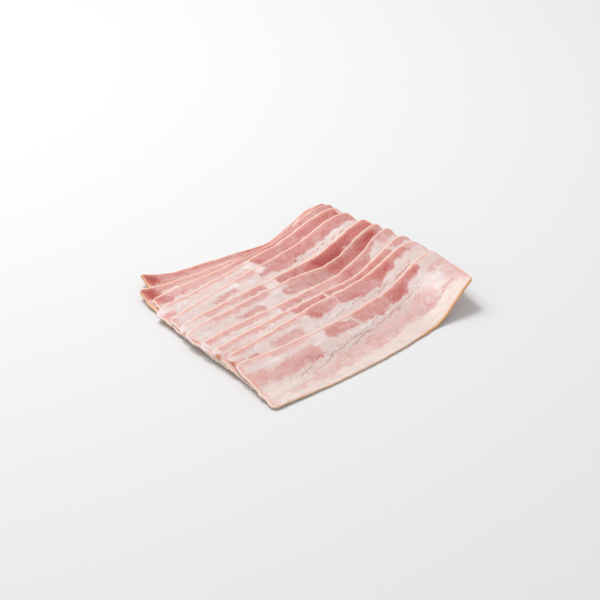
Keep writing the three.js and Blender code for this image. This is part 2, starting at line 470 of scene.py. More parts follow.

# %% Wet places, and painted shade in gaps at near ends
# Each: X and distance across of its middle, its reach along and across, strength
WET_SPOTS = {
    4: [(41, 11, 3, 3, 0.9), (49, 14, 3, 2, 0.9)],
    6: [(26, 6, 10, 4, 0.3)],
    9: [(12, 13, 12, 3, 0.5), (-14, 8, 6, 5, 0.4)],
    10: [(65, 19, 13, 12, 1.15), (-14, 10, 10, 6, 0.25)],
}
# Painted shade of the dark gap between two layers at a near end, red where light comes through the
# meat
GAP_SHADE_SPOTS = {
    5: [(-66.4, 6.6, 1.4, 1.2, 0.8)],
    8: [(-70.9, 6.3, 1.8, 2.4, 1.3)],
    9: [(-70.3, 6.8, 1.5, 2.0, 1.2)],
}
# How quickly a spot falls off towards its reach
SPOT_FALL = 1.5


def soft_spots(x, across, spots):
    total = np.zeros_like(x)
    for middle_x, middle_across, reach_x, reach_across, strength in spots:
        away = ((x - middle_x) / reach_x) ** 2 + ((across - middle_across) / reach_across) ** 2
        total += strength * np.exp(-SPOT_FALL * away)
    return total


left = float(soft_spots(np.array([9.0]), np.array([0.0]), [(0, 0, 9, 3, 1.0)])[0])
print("share of a spot's strength that is left at its reach:", round(left, 2))

# %% [markdown]
# ## Furrows and puckers
#
# Thin furrows run at a slant through the fat in the middle of a rasher, where the seam between two
# muscles has opened a little. Each is a short line from one point to another, given like the
# patches, with its half width. It thins out towards both ends.

# %% The furrows in the fat
# Each: X and distance across at the start, the same at the end, half width
FURROWS = {
    10: [
        (-51, 26.4, -40, 21.4, 0.5), (-44, 27.2, -32, 24.6, 0.5), (-40, 21.6, -30, 17.4, 0.5),
        (-34, 24.8, -22, 20.4, 0.5), (-27, 21.6, -21, 19.6, 0.7), (-19, 20.2, -9, 17.6, 0.7),
        (-10, 22.2, -2, 19.4, 0.7), (-9, 18.0, 3, 16.4, 0.6), (-3, 19.6, 5, 17.4, 0.8),
        (1, 22.4, 8, 21.0, 0.5), (3, 16.4, 11, 19.0, 0.7), (12, 18.2, 22, 16.2, 0.6),
        (11, 14.8, 20, 12.4, 0.6), (20, 13.0, 31, 12.2, 0.6), (22, 16.6, 30, 15.8, 0.5),
        (27, 15.4, 38, 14.8, 0.6), (36, 13.6, 42, 13.2, 0.5), (33, 16.4, 40, 15.6, 0.5),
        (42, 13.4, 54, 12.6, 0.4), (-58, 25.0, -46, 20.8, 0.3), (-30, 19.4, -23, 15.8, 0.4),
    ],
    9: [
        (2, 15.4, 16, 13.0, 0.5), (18, 14.0, 27, 12.6, 0.6), (28, 13.0, 36, 12.0, 0.5),
        (36, 14.8, 49, 13.8, 0.6), (52, 15.8, 68, 14.8, 0.9), (-14, 15.6, -9, 14.4, 0.5),
    ],
    6: [(23, 10.6, 28, 9.8, 0.6)],
    4: [
        (30.2, 13.6, 33, 11.4, 1.1), (33, 12.4, 39, 11.6, 0.7), (31, 15.0, 40, 14.4, 0.5),
        (39.2, 10.8, 42.6, 9.0, 1.0), (46.2, 14.8, 49.8, 13.2, 1.0), (51.2, 14.0, 54.2, 12.6, 0.9),
        (42, 14.4, 46, 13.6, 0.5), (65.2, 14.6, 69.0, 13.2, 0.9), (57, 14.8, 62, 13.8, 0.5),
    ],
}
# A furrow's sides slope out to this share of its half width
FURROW_SIDES = 1.25
# Square of the share of its width that is left at its very ends
FURROW_TIP = 0.05


def furrow_depth(x, across, lines):
    depth = np.zeros_like(x)
    for x0, w0, x1, w1, half in lines:
        length = np.hypot(x1 - x0, w1 - w0)
        t = np.clip(((x - x0) * (x1 - x0) + (across - w0) * (w1 - w0)) / length**2, 0, 1)
        gap = np.hypot(x - x0 - t * (x1 - x0), across - w0 - t * (w1 - w0))
        taper = np.sqrt(np.clip(4 * t * (1 - t), FURROW_TIP, 1))
        depth = np.maximum(depth, smooth(1 - gap / (FURROW_SIDES * half * taper)))
    return depth


print(sum(len(lines) for lines in FURROWS.values()), "furrows")

# %% [markdown]
# Between the furrows the fat is puckered. These zones are given as stations along a line, each with
# its X, its distance across and the half width of the puckered band there. The folds in them are
# the places where a stretched random field crosses zero, which makes thin, wandering lines.

# %% The puckered zones
PUCKERS = {
    10: [
        (-62, 26, 2), (-50, 24, 5), (-30, 20, 5.5), (-8, 18.5, 5), (12, 16.5, 4), (50, 13.2, 2.6),
        (66, 12, 1),
    ],
    9: [(-20, 14, 1), (0, 14.6, 2.4), (24, 14.4, 2.8), (50, 14.2, 2.6), (76, 12, 1)],
    6: [(10, 11, 1), (24, 10.5, 2), (34, 9, 1)],
    4: [(24, 14, 1), (36, 12.6, 3), (50, 13, 3), (72, 12.6, 1.4)],
}
FOLD_LENGTH = 7.0
FOLD_SPACING = 1.25
# The folds lie at a slant, so each of their two directions takes in some of the other
LENGTH_SLANT = 2.4
SPACING_SLANT = 0.36
# A fold is full where the field is this close to zero, and fades out over the second number
FOLD_CORE = 0.02
FOLD_FADE = 0.2
# The zone ends at this share of its half width, and fades out over this length of the rasher
ZONE_EDGE = 1.4
ZONE_FADE = 8


def pucker(rasher, x, across):
    if rasher not in PUCKERS:
        return np.zeros_like(x)
    at, middle, half = np.array(PUCKERS[rasher]).T
    off_middle = np.abs(across - np.interp(x, at, middle)) / np.interp(x, at, half)
    band = smooth(ZONE_EDGE - off_middle)
    band = band * smooth((x - at[0]) / ZONE_FADE) * smooth((at[-1] - x) / ZONE_FADE)
    slanted_x = (x - LENGTH_SLANT * across) / FOLD_LENGTH
    slanted_across = (across + SPACING_SLANT * x) / FOLD_SPACING + rasher
    folds = wander_fine(slanted_x, slanted_across, seed=71)
    return band * smooth((np.abs(folds) - FOLD_CORE) / -FOLD_FADE + 1)


print("puckered zones on rashers", [rasher + 1 for rasher in sorted(PUCKERS)])

# %% [markdown]
# ## What the meat looks like at each point
#
# For every point of a rasher eight things are worked out and kept on the mesh in two attributes, so
# that the shader can read them. The marbling says how much lean covers the point, how deep its tone
# is, which on the climb also holds painted shade, how deep a furrow or a painted contact shadow is
# there, and how creamy the fat is, which grows towards the rind. The trim says how far the cut rim
# is, which places the painted rim highlight, how amber the point is, how wet, and how white, which
# also holds painted glints and the painted highlight of the near corners.
#
# The places are first shifted by a random field that makes lobes. Such a field is always read at a
# place divided by the size of its features, so a division by 5 makes features of about 5 mm.

# %% Lobes of the lean
LOBES_ALONG = 2.6
LOBES_ACROSS = 1.9
# Each rasher reads its random fields this much further along, so that no two are alike
RASHER_SHIFT = 5.0


def lobes(rasher, x, across):
    """Shifts in mm, along and across."""
    shift = RASHER_SHIFT * rasher
    along = LOBES_ALONG * wander_fine(x / 5.0 + shift, across / 4.0, seed=11, octaves=4)
    aside = LOBES_ACROSS * wander_fine(x / 4.0 + shift, across / 4.4, seed=23, octaves=4)
    return along, aside


print("lobes reach up to", LOBES_ALONG, "mm along and", LOBES_ACROSS, "mm across")

# %% [markdown]
# The tone of a point is that of the patches near it, weighted so that the nearest one counts most.
# A deep patch has a crisper edge than a pale one, whose fibres fade into the fat. A pale patch also
# has more small islands of fat in it.

# %% Cover and tone of the lean
DEEPEST_TONE = 1.5
BASE_TONE = 0.4
BASE_WEIGHT = 0.001
# A pale patch fades into the fat over this many millimetres on either side of its edge, and a deep
# one over half of that
PALE_FADE = 3.0
DEEP_FADE_LOSS = 1.5
# A patch's pull on the tone grows with the distance into it, between these two distances
NEAREST_PULL = 0.8
PULL_FROM = -7
PULL_TO = 2.5
TONE_WANDER = 0.22
# Where the field of islands starts to count, and over what range
ISLANDS_FROM = 0.1
ISLANDS_RANGE = 0.5
# Share of the lean that an island takes away: less with a deeper tone, between two limits
PALE_ISLANDS = 0.75
ISLANDS_LOST_BY_TONE = 0.5
FAINTEST_ISLANDS = 0.1
STRONGEST_ISLANDS = 0.6
# A spot of painted gap shade is deep red lean all through
GAP_SHADE_COVER = 1.3


def lean_and_tone(rasher, x, across, lobed_x, lobed_across):
    fat = np.ones_like(x)
    weight = np.full_like(x, BASE_WEIGHT)
    tone = np.full_like(x, BASE_TONE * BASE_WEIGHT)
    for patch in LEAN[rasher] + LOWER_MUSCLE:
        patch_tone = patch[-1]
        distance = patch_distance(lobed_x, lobed_across, patch)
        fade = PALE_FADE - DEEP_FADE_LOSS * min(patch_tone, 1.0)
        fat *= 1 - smooth(0.5 + distance / (2 * fade))
        pull = np.exp(NEAREST_PULL * np.clip(distance, PULL_FROM, PULL_TO))
        weight += pull
        tone += pull * patch_tone
    tone = tone / weight + soft_spots(lobed_x, lobed_across, HEARTS_AND_CLIMB_SHADE.get(rasher, []))
    gap_shade = soft_spots(x, across, GAP_SHADE_SPOTS.get(rasher, []))
    tone += gap_shade
    shift = RASHER_SHIFT * rasher
    tone += TONE_WANDER * wander_fine(x / 6.0 + shift, across / 3.0, seed=91)
    islands = wander_fine(x / 2.9 + shift, across / 1.9, seed=83, octaves=2)
    islands = smooth((islands - ISLANDS_FROM) / ISLANDS_RANGE)
    taken = PALE_ISLANDS - ISLANDS_LOST_BY_TONE * tone
    lean = (1 - fat) * (1 - islands * np.clip(taken, FAINTEST_ISLANDS, STRONGEST_ISLANDS))
    lean = np.maximum(lean, np.clip(GAP_SHADE_COVER * gap_shade, 0, 1))
    return lean, np.clip(tone, 0, DEEPEST_TONE)


print("tones run from 0 to", DEEPEST_TONE)

# %% [markdown]
# The furrows and puckers follow the lobes of the lean by half or less, so they stay long. A faint
# dark line of painted contact shadow also follows the edge of the next rasher, where it lies on this
# one, and dents the surface a little. The cream lies at the rind, and a tenth of it along the fat
# edge.

# %% Furrows and cream of the fat
FURROW_BEND = 0.8
# How far furrows and puckers follow the lobes, along the rasher and across it
FURROW_FOLLOWS_X, FURROW_FOLLOWS_ACROSS = 0.4, 0.3
PUCKER_FOLLOWS_X, PUCKER_FOLLOWS_ACROSS = 0.5, 0.4
PUCKER_DEPTH = 0.7
CONTACT_SHADE_DEPTH = 0.45
CONTACT_SHADE_WIDTH = 1.0
CREAM_FROM = 22
CREAM_REACH = 9
EDGE_CREAM_REACH = 6


def furrow_field(rasher, x, across, lobes_x, lobes_across):
    bend = FURROW_BEND * wander_fine(x / 3.2, across / 2.6, seed=29, octaves=2)
    bent_x = x + FURROW_FOLLOWS_X * lobes_x
    bent_across = across + FURROW_FOLLOWS_ACROSS * lobes_across + bend
    furrow_and_shade = furrow_depth(bent_x, bent_across, FURROWS.get(rasher, []))
    bent_x = x + PUCKER_FOLLOWS_X * lobes_x
    bent_across = across + PUCKER_FOLLOWS_ACROSS * lobes_across
    furrow_and_shade = np.maximum(furrow_and_shade, PUCKER_DEPTH * pucker(rasher, bent_x, bent_across))
    # Along the next rasher's edge lies a painted contact shadow, carried with the furrows
    if rasher < len(FAN) - 1:
        to_next = across - (edge_at(rasher, x) - edge_at(rasher + 1, x))
        contact_shade = CONTACT_SHADE_DEPTH * smooth(1 - np.abs(to_next) / CONTACT_SHADE_WIDTH)
        furrow_and_shade = np.maximum(furrow_and_shade, contact_shade)
    return furrow_and_shade


def marbling(rasher, x, across):
    lobes_x, lobes_across = lobes(rasher, x, across)
    lean, tone = lean_and_tone(rasher, x, across, x + lobes_x, across + lobes_across)
    furrow_and_shade = furrow_field(rasher, x, across, lobes_x, lobes_across)
    rind_cream = smooth((across - CREAM_FROM) / CREAM_REACH)
    edge_cream = smooth(1 - across / EDGE_CREAM_REACH)
    return lean, tone, furrow_and_shade, rind_cream * 0.9 + 0.1 * edge_cream


print("the fat turns creamy", CREAM_FROM, "mm from the fat edge")

# %% [markdown]
# The trim is what the knife and the air leave at the edges. The rind side is amber, deeper and
# further in on the climb than on the flat. The near cut of the first two rashers is amber as well,
# with a faint brownish patch behind their turned-up corners.

# %% Amber of the rind
TURNED_UP_RASHERS = 2
RIND_REACH = 0.7
RIND_REACH_ON_CLIMB = 1.4
NEAR_CUT_AMBER = 0.8
NEAR_CUT_REACH = 0.8
GAP_SHADE_AMBER = 0.4


def amber_of(rasher, x, across, from_near):
    # The climb counts from X = 22 on, fully from 38 to 74, and no more past 84
    on_climb = smooth((x - 22) / 16) * smooth((84 - x) / 10)
    reach = RIND_REACH + RIND_REACH_ON_CLIMB * on_climb
    # The amber has half its depth up to X = 10, and all of it from 34 on
    depth = 0.5 + 0.5 * smooth((x - 10) / 24)
    amber = smooth(1 - (WIDTH - across) / reach) * depth
    if rasher < TURNED_UP_RASHERS:
        near_cut = NEAR_CUT_AMBER * smooth(1 - from_near / NEAR_CUT_REACH)
        brownish_patch = (-31 - 11 * rasher, 8, 6, 2.4, 0.25)
        amber = np.maximum(amber, near_cut)
        amber = np.maximum(amber, soft_spots(x, across, [brownish_patch]))
    return np.maximum(amber, GAP_SHADE_AMBER * soft_spots(x, across, GAP_SHADE_SPOTS.get(rasher, [])))


print("the rind is amber over", RIND_REACH, "mm, and", RIND_REACH_ON_CLIMB, "mm more on the climb")

# %% [markdown]
# The first three rashers show only a narrow strip. Past their near ends the lean runs right to the
# edge, so the rim is told to be further off than it is, from X = 2 on and fully from 22. A spot of
# painted gap shade pushes the rim away in the same manner. On all the other rashers the near corner
# is painted white, partly whiter fat and partly the painted highlight that the rounded corner catches.

# %% Fields of the trim
BACK_RASHERS = 3
BACK_RIM_GAIN = 1.6
FAR_RIM_MARGIN = 0.6
GAP_SHADE_CLEARS = 5
CORNER_HIGHLIGHT_ALONG = 7
CORNER_HIGHLIGHT_ACROSS = 9
# The painted white of the corner fades out towards this share of those two reaches
CORNER_HIGHLIGHT_END = 1.1


def trimmings(rasher, x, across, from_near, from_far):
    """Millimetres to the cut rim, amber of the rind, wetness and whiteness."""
    rim = np.minimum(across, np.minimum(from_near, from_far + FAR_RIM_MARGIN))
    rim = rim + GAP_SHADE_CLEARS * soft_spots(x, across, GAP_SHADE_SPOTS.get(rasher, []))
    if rasher < BACK_RASHERS:
        rim = rim * (1 + BACK_RIM_GAIN * smooth((x - 2) / 20))
    amber = amber_of(rasher, x, across, from_near)
    wet = soft_spots(x, across, WET_SPOTS.get(rasher, []))
    white = soft_spots(x, across, WHITE_FAT_AND_GLINTS.get(rasher, []))
    # A painted highlight whitens the near corner, over whiter fat
    if rasher >= BACK_RASHERS:
        to_corner = np.hypot(from_near / CORNER_HIGHLIGHT_ALONG, across / CORNER_HIGHLIGHT_ACROSS)
        white = white + smooth(CORNER_HIGHLIGHT_END - to_corner)
    return rim, amber, wet, np.clip(white, 0, 1)


print("white corners reach", CORNER_HIGHLIGHT_ALONG, "mm along and", CORNER_HIGHLIGHT_ACROSS, "mm across")

# %% [markdown]
# ## One rasher as a mesh
#
# A rasher is a long, thin rectangle, so it starts as a grid primitive, which also brings a tidy UV
# map. Its points are then moved to where the slice lies, which no transform operator could do:
# the plan comes from the edge line and the shape of the cut ends, and the height from the layers
# below. A Solidify modifier gives the slice its thickness, and a Bevel softens the knife's edges.
#
# In plan the corners are round and the cut ends are ragged. The shape of each cut end fades out
# over the rows beside it, and the far one is set back in a curve as well.

# %% Cut ends of a rasher
NEAR_CORNER = 4.2
# The first two rashers keep the sharp near corner that is turned up
SHARP_CORNER = 2.0
FAR_CORNER = 2.6
CORNER_FADE = 12.0
NEAR_SLANT_FADE = 30.0
FAR_SLANT = 12.4
FAR_SLANT_POWER = 1.5
FAR_SLANT_START = 20
NEAR_RAGGED = 0.9
FAR_RAGGED = 0.5
# The ragged line has this many waves over a rasher's width
RAGS_ACROSS = 9


def set_back(distance, radius):
    """How far a round corner sets the cut end back, at a distance from the rasher's side."""
    inward = np.maximum(radius - distance, 0)
    return radius - np.sqrt(radius**2 - inward**2)


def cuts_of(rasher, row, v):
    """How far the two cuts are set in from their ends, in mm along X."""
    near, far = FAN[rasher]["near"], FAN[rasher]["far"]
    from_side = np.minimum(v, 1 - v) * WIDTH
    near_fade = np.maximum(1 - (row - near) / CORNER_FADE, 0)
    slant_fade = np.maximum(1 - (row - near) / NEAR_SLANT_FADE, 0)
    far_fade = np.maximum(1 - (far - row) / CORNER_FADE, 0)
    near_ragged = NEAR_RAGGED * wander_fine(v * RAGS_ACROSS + rasher, v * 0 + 0.5, seed=61)
    far_ragged = FAR_RAGGED * wander_fine(v * RAGS_ACROSS + rasher, v * 0 + 0.5, seed=67)
    far_cut = (set_back(from_side, FAR_CORNER) + far_ragged) * far_fade
    back = smooth((row - FAR_SLANT_START) / (far - FAR_SLANT_START))
    far_cut = far_cut + FAR_SLANT * v**FAR_SLANT_POWER * back
    near_corner = SHARP_CORNER if rasher < TURNED_UP_RASHERS else NEAR_CORNER
    near_cut = (set_back(from_side, near_corner) + near_ragged) * near_fade
    near_cut = near_cut - FAN[rasher]["slant"] * v * slant_fade
    return near_cut, far_cut


print("cut ends are ragged by", NEAR_RAGGED, "mm near and", FAR_RAGGED, "mm far")

# %% [markdown]
# Both long edges wave a little: the fat edge slowly, and the rind side in short, shallow waves. Each
# wave dies away towards the middle of the rasher, over the share of its width that is named here.

# %% Plan of a rasher
EDGE_WAVE = 0.7
EDGE_WAVE_LENGTH = 9
EDGE_WAVE_SHARE = 0.3
RIND_WAVE = 0.28
RIND_WAVE_LENGTH = 3.4
RIND_WAVE_SHARE = 0.06


def plan_of(rasher, u, v):
    """X and Y of each point, and its distances to the two cut ends."""
    near, far = FAN[rasher]["near"], FAN[rasher]["far"]
    row = near + (far - near) * u
    near_cut, far_cut = cuts_of(rasher, row, v)
    x = row + near_cut - far_cut
    # Each rasher reads a line of its own in the field
    line = x * 0 + rasher
    edge_wave = EDGE_WAVE * wander_fine(x / EDGE_WAVE_LENGTH, line, seed=31, octaves=4)
    rind_wave = RIND_WAVE * wander_fine(x / RIND_WAVE_LENGTH, line, seed=37)
    edge_wave = edge_wave * smooth(1 - v / EDGE_WAVE_SHARE)
    rind_wave = rind_wave * smooth(1 - (1 - v) / RIND_WAVE_SHARE)
    y = edge_at(rasher, x) - v * WIDTH + edge_wave + rind_wave
    return x, y, row - near, far - row


print("the long edges wave by", EDGE_WAVE, "mm and", RIND_WAVE, "mm")

# %% [markdown]
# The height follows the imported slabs, a tenth of a millimetre higher, so that the relief stays
# clear of the slice below. Where a slice lies on others it rolls in slow waves, about 17 mm long and
# 8 mm wide, and its rim clings to them a little. Lean stands lower than fat, furrows are cut in, and
# there is a grain of 1 or 2 mm at a slant.

# %% Height of a rasher's upper side
LIFT = 0.12
# Of the air gap under a rim, this much stays open
OPEN_GAP = 0.2
CLING_REACH = 4.5
ROLLING = 0.3
LEAN_SINK = 0.07
GRAIN_RELIEF = 0.05
FURROW_RELIEF = 0.2


def upper_side(rasher, x, y, rim, lean, furrow_and_shade):
    layers = layers_under(rasher, x, y)
    height = bed_height(x, y) + layers * (THICKNESS + LAYER_GAP) + THICKNESS
    near_rim = smooth(1 - rim / CLING_REACH)
    clings = (LAYER_GAP - OPEN_GAP) * near_rim * np.minimum(layers, 1) * (1 - furrow_and_shade)
    rolling = ROLLING * wander_fine(x / 17, y / 8, seed=41, octaves=2) * np.minimum(layers / 2, 1)
    grain = wander_fine(x / 2.2 + y / 4, y / 1.3 - x / 5, seed=47 + rasher)
    relief = LIFT + LEAN_SINK * (0.5 - lean) + GRAIN_RELIEF * grain - FURROW_RELIEF * furrow_and_shade
    return height - clings + rolling + relief


print("furrows are", FURROW_RELIEF, "mm deep")

# %% [markdown]
# The last two rashers show most of their upper side, so their grids are finer. The points are read
# and written in one go with `foreach_get` and `foreach_set`, which is far quicker than a loop.

# %% Helpers for the grid
COARSE_CELLS = (290, 72)
FINE_CELLS = (400, 100)
FINE_RASHERS = 2


def rasher_grid(rasher):
    along, aside = FINE_CELLS if rasher >= len(FAN) - FINE_RASHERS else COARSE_CELLS
    bpy.ops.object.select_all(action="DESELECT")
    bpy.ops.mesh.primitive_grid_add(
        x_subdivisions=along, y_subdivisions=aside, size=1, calc_uvs=True
    )
    piece = bpy.context.object
    piece.name = f"bacon_rasher_{rasher + 1:02d}"
    piece.data.name = piece.name
    return piece


def grid_places(mesh):
    """How far along the slice and how far across it each point is, both from 0 to 1."""
    points = np.empty(len(mesh.vertices) * 3)
    mesh.vertices.foreach_get("co", points)
    points = points.reshape(-1, 3)
    return points[:, 0] + 0.5, 0.5 - points[:, 1]


def paint(mesh, name, *numbers):
    """Keep four numbers at every point, as a colour attribute."""
    field = mesh.color_attributes.new(name, "FLOAT_COLOR", "POINT")
    field.data.foreach_set("color", np.stack(numbers, 1).ravel())


print("a fine grid has", FINE_CELLS[0] * FINE_CELLS[1], "cells")


# %% Shape and paint the grid
def make_rasher(rasher):
    piece = rasher_grid(rasher)
    mesh = piece.data
    u, v = grid_places(mesh)
    x, y, from_near, from_far = plan_of(rasher, u, v)
    across = v * WIDTH
    lean, tone, furrow_and_shade, cream = marbling(rasher, x, across)
    rim, amber, wet, white = trimmings(rasher, x, across, from_near, from_far)
    z = upper_side(rasher, x, y, rim, lean, furrow_and_shade)
    placed = np.stack([x - CENTRE[0], y - CENTRE[1], z], 1) * MM
    mesh.vertices.foreach_set("co", placed.ravel())
    paint(mesh, "marbling", lean, tone / DEEPEST_TONE, furrow_and_shade, cream)
    paint(mesh, "trim", rim, amber, wet, white)
    mesh.update()
    return piece


print("each rasher keeps 8 numbers at every point")

# %% [markdown]
# Solidify works along the surface's normals, so on the climb a full slice would reach a little too
# far down. The slice is therefore made thinner by a hair. The Bevel only acts where two faces meet
# at a steep angle, which is all round the cut.

# %% Give each rasher its thickness
THINNER_BY = 0.04
EDGE_ROUNDING = 0.3
STEEP = np.radians(55)
pieces = []


def thicken(piece):
    bpy.ops.object.modifier_add(type="SOLIDIFY")
    solidify = piece.modifiers[-1]
    solidify.thickness = (THICKNESS - THINNER_BY) * MM
    solidify.offset = -1
    bpy.ops.object.modifier_apply(modifier=solidify.name)
    bpy.ops.object.modifier_add(type="BEVEL")
    bevel = piece.modifiers[-1]
    bevel.width = EDGE_ROUNDING * MM
    bevel.segments = 2
    bevel.limit_method = "ANGLE"
    bevel.angle_limit = STEEP
    bpy.ops.object.modifier_apply(modifier=bevel.name)
    bpy.ops.object.shade_smooth()


for rasher in range(len(FAN)):
    made = make_rasher(rasher)
    thicken(made)
    pieces.append(made)
print(len(pieces), "rashers,", sum(len(p.data.polygons) for p in pieces), "faces in all")

# %% [markdown]
# ## The finish of the meat
#
# One material serves every rasher, because the marbling is on the mesh. Raw fat and lean let light
# in a little way, so the shader has some subsurface scattering, strongest for red. The surface is
# moist, with a soft gloss. The nodes read the fields and add what is finer than the mesh: a frayed
# edge between lean and fat, the pale net between the muscle bundles, pink veins in the fat, and the
# grain that the slicing blade leaves.
#
# First come a few helpers that each add one kind of node and wire it up. A Mix node has a set of
# sockets for every kind of data: 0 is the amount, 4 and 5 are the two vectors, and 6 and 7 are the
# two colours. A Math node set to multiply and add gives its first value times the second, plus the
# third.

# %% A small node toolkit
def node(tree, kind, **settings):
    made = tree.nodes.new(kind)
    for name, value in settings.items():
        setattr(made, name, value)
    return made


def feed(tree, socket, value):
    """Link a socket to another one, or set it to a plain value."""
    if isinstance(value, bpy.types.NodeSocket):
        tree.links.new(value, socket)
    else:
        socket.default_value = value


def maths(tree, operation, *values):
    made = node(tree, "ShaderNodeMath", operation=operation)
    for socket, value in zip(made.inputs, values):
        feed(tree, socket, value)
    return made.outputs[0]


def blend(tree, amount, first, second):
    made = node(tree, "ShaderNodeMix", data_type="RGBA")
    feed(tree, made.inputs[0], amount)
    feed(tree, made.inputs[6], first)
    feed(tree, made.inputs[7], second)
    return made.outputs[2]


def step_between(tree, value, low, high, height=1.0):
    """A smooth step from 0 at low to height at high."""
    made = node(tree, "ShaderNodeMapRange", interpolation_type="SMOOTHSTEP")
    feed(tree, made.inputs["Value"], value)
    made.inputs["From Min"].default_value = low
    made.inputs["From Max"].default_value = high
    made.inputs["To Max"].default_value = height
    return made.outputs["Result"]


print("the toolkit makes maths, mixes and steps")

# %% [markdown]
# The patterns read the mesh's own coordinates in metres, so a noise scale of 500 makes features of
# about 2 mm. A Mapping node scales before it turns, so a pattern that is stretched along a slant
# takes two of them: the first turns the place, and the second stretches it.

# %% Patterns in the meat
def stretched(tree, vector, stretch, turn=0.0):
    turned = node(tree, "ShaderNodeMapping")
    turned.inputs["Rotation"].default_value = (0, 0, turn)
    feed(tree, turned.inputs["Vector"], vector)
    scaled = node(tree, "ShaderNodeMapping")
    scaled.inputs["Scale"].default_value = stretch
    feed(tree, scaled.inputs["Vector"], turned.outputs["Vector"])
    return scaled.outputs["Vector"]


def noise(tree, vector, scale, detail=2.0, roughness=0.5):
    made = node(tree, "ShaderNodeTexNoise")
    feed(tree, made.inputs["Vector"], vector)
    made.inputs["Scale"].default_value = scale
    made.inputs["Detail"].default_value = detail
    made.inputs["Roughness"].default_value = roughness
    return made.outputs["Fac"]


def channels_of(tree, attribute):
    """The four numbers that a colour attribute keeps at each point."""
    field = node(tree, "ShaderNodeAttribute", attribute_name=attribute)
    parts = node(tree, "ShaderNodeSeparateColor")
    feed(tree, parts.inputs["Color"], field.outputs["Color"])
    return parts.outputs[0], parts.outputs[1], parts.outputs[2], field.outputs["Alpha"]


print("noise of scale 500 has features of", 1000 / 500, "mm")

# %% Colours of the meat
FAT_PINKISH = linear(225, 203, 198)
FAT_CREAMY = linear(238, 220, 211)
FAT_WHITE = linear(240, 229, 227)
VEIN_PINK = linear(222, 176, 169)
# Painted shade in furrows, puckers and along the next rasher's edge, red where light comes through the
# meat
FURROW_SHADE_RED = linear(184, 104, 88)
EDGE_ORANGE = linear(230, 160, 142)
# Painted highlight of the rounded cut rim, lit from behind and shining through
RIM_HIGHLIGHT_PEACH = linear(248, 222, 207)
RIND_AMBER = linear(228, 172, 116)
# Each: place on the ramp of tones, from 0 for the palest to 1 for the deepest, and colour
LEAN_TONES = [
    (0.0, linear(232, 196, 191)),
    (0.3, linear(221, 168, 162)),
    (0.57, linear(207, 142, 137)),
    (0.8, linear(198, 109, 102)),
    (1.0, linear(182, 79, 73)),
]
print(len(LEAN_TONES), "tones of lean")

# %% [markdown]
# ### Lean against fat
#
# The cover field changes slowly across the border of a patch. Noise is added to it only there, in
# the border itself, and a smooth step then cuts it into lean and fat along a frayed line.
#
# The fat is not plain white. It is pinkish near the lean and creamy near the rind, with veins of
# pink, clouds of white that also carry the painted glints, and the fine white grain that the slicing
# blade leaves.

# %% The border and the fat
FRAYING = 5.0
# How much the white places and painted glints add to the clouds of white
WHITE_AND_GLINT_GAIN = 0.36


def lean_mask(tree, place, cover):
    fray = noise(tree, stretched(tree, place, (0.8, 1.2, 1.0)), scale=480, detail=4, roughness=0.65)
    border = maths(tree, "MULTIPLY", cover, maths(tree, "SUBTRACT", 1.0, cover))
    frayed = maths(tree, "MULTIPLY", maths(tree, "SUBTRACT", fray, 0.5), FRAYING)
    frayed_cover = maths(tree, "MULTIPLY_ADD", frayed, border, cover)
    return step_between(tree, frayed_cover, low=0.05, high=0.95)


def fat_colour(tree, place, cream, white, grain):
    fat = blend(tree, cream, FAT_PINKISH, FAT_CREAMY)
    vein_place = stretched(tree, place, (0.4, 1.3, 1.0), turn=0.15)
    veins = noise(tree, vein_place, scale=240, detail=4, roughness=0.6)
    fat = blend(tree, step_between(tree, veins, low=0.5, high=0.72, height=0.5), fat, VEIN_PINK)
    cloud_place = stretched(tree, place, (0.5, 1.2, 1.0), turn=0.1)
    clouds = noise(tree, cloud_place, scale=170, detail=4, roughness=0.6)
    whiter = maths(tree, "MULTIPLY_ADD", white, WHITE_AND_GLINT_GAIN, clouds)
    fat = blend(tree, step_between(tree, whiter, low=0.5, high=0.85, height=0.9), fat, FAT_WHITE)
    return blend(tree, step_between(tree, grain, low=0.52, high=0.72, height=0.5), fat, FAT_WHITE)


print("at the middle of a border the noise shifts the cover by up to", FRAYING / 2 / 4)

# %% [markdown]
# ### The colour of the lean
#
# The tone field picks a colour from a ramp, after mottling and grain have shifted it a little. Real
# lean is made of bundles of fibres with pale tissue between them. A Voronoi texture's distance to
# the cell edges gives such a net, once its cells are warped by noise so that they lose their
# straight sides. The net and the pale specks show most where the lean is pale.

# %% The net between the bundles
NET_WARP = 0.0034


def bundle_net(tree, place):
    """Pale lines between the muscle bundles, about 2 mm apart."""
    warp = node(tree, "ShaderNodeTexNoise")
    feed(tree, warp.inputs["Vector"], place)
    warp.inputs["Scale"].default_value = 420
    bent = node(tree, "ShaderNodeMix", data_type="VECTOR")
    bent.inputs[0].default_value = NET_WARP
    feed(tree, bent.inputs[4], place)
    feed(tree, bent.inputs[5], warp.outputs["Color"])
    cells = node(tree, "ShaderNodeTexVoronoi", feature="DISTANCE_TO_EDGE")
    feed(tree, cells.inputs["Vector"], stretched(tree, bent.outputs[1], (0.75, 1.25, 1.0), turn=0.3))
    cells.inputs["Scale"].default_value = 430
    lines = step_between(tree, cells.outputs["Distance"], low=0.14, high=0.02)
    some = step_between(tree, noise(tree, place, scale=190), low=0.4, high=0.66)
    return maths(tree, "MULTIPLY", lines, some)


print("the net is warped by up to", NET_WARP * 1000 / 2, "mm either way")

# %% The lean
MOTTLING = 0.42
GRAIN_IN_LEAN = 0.3
WEBBING = 0.55
# Share of the net and the specks that is lost in the deepest lean
WEB_LOSS = 0.8


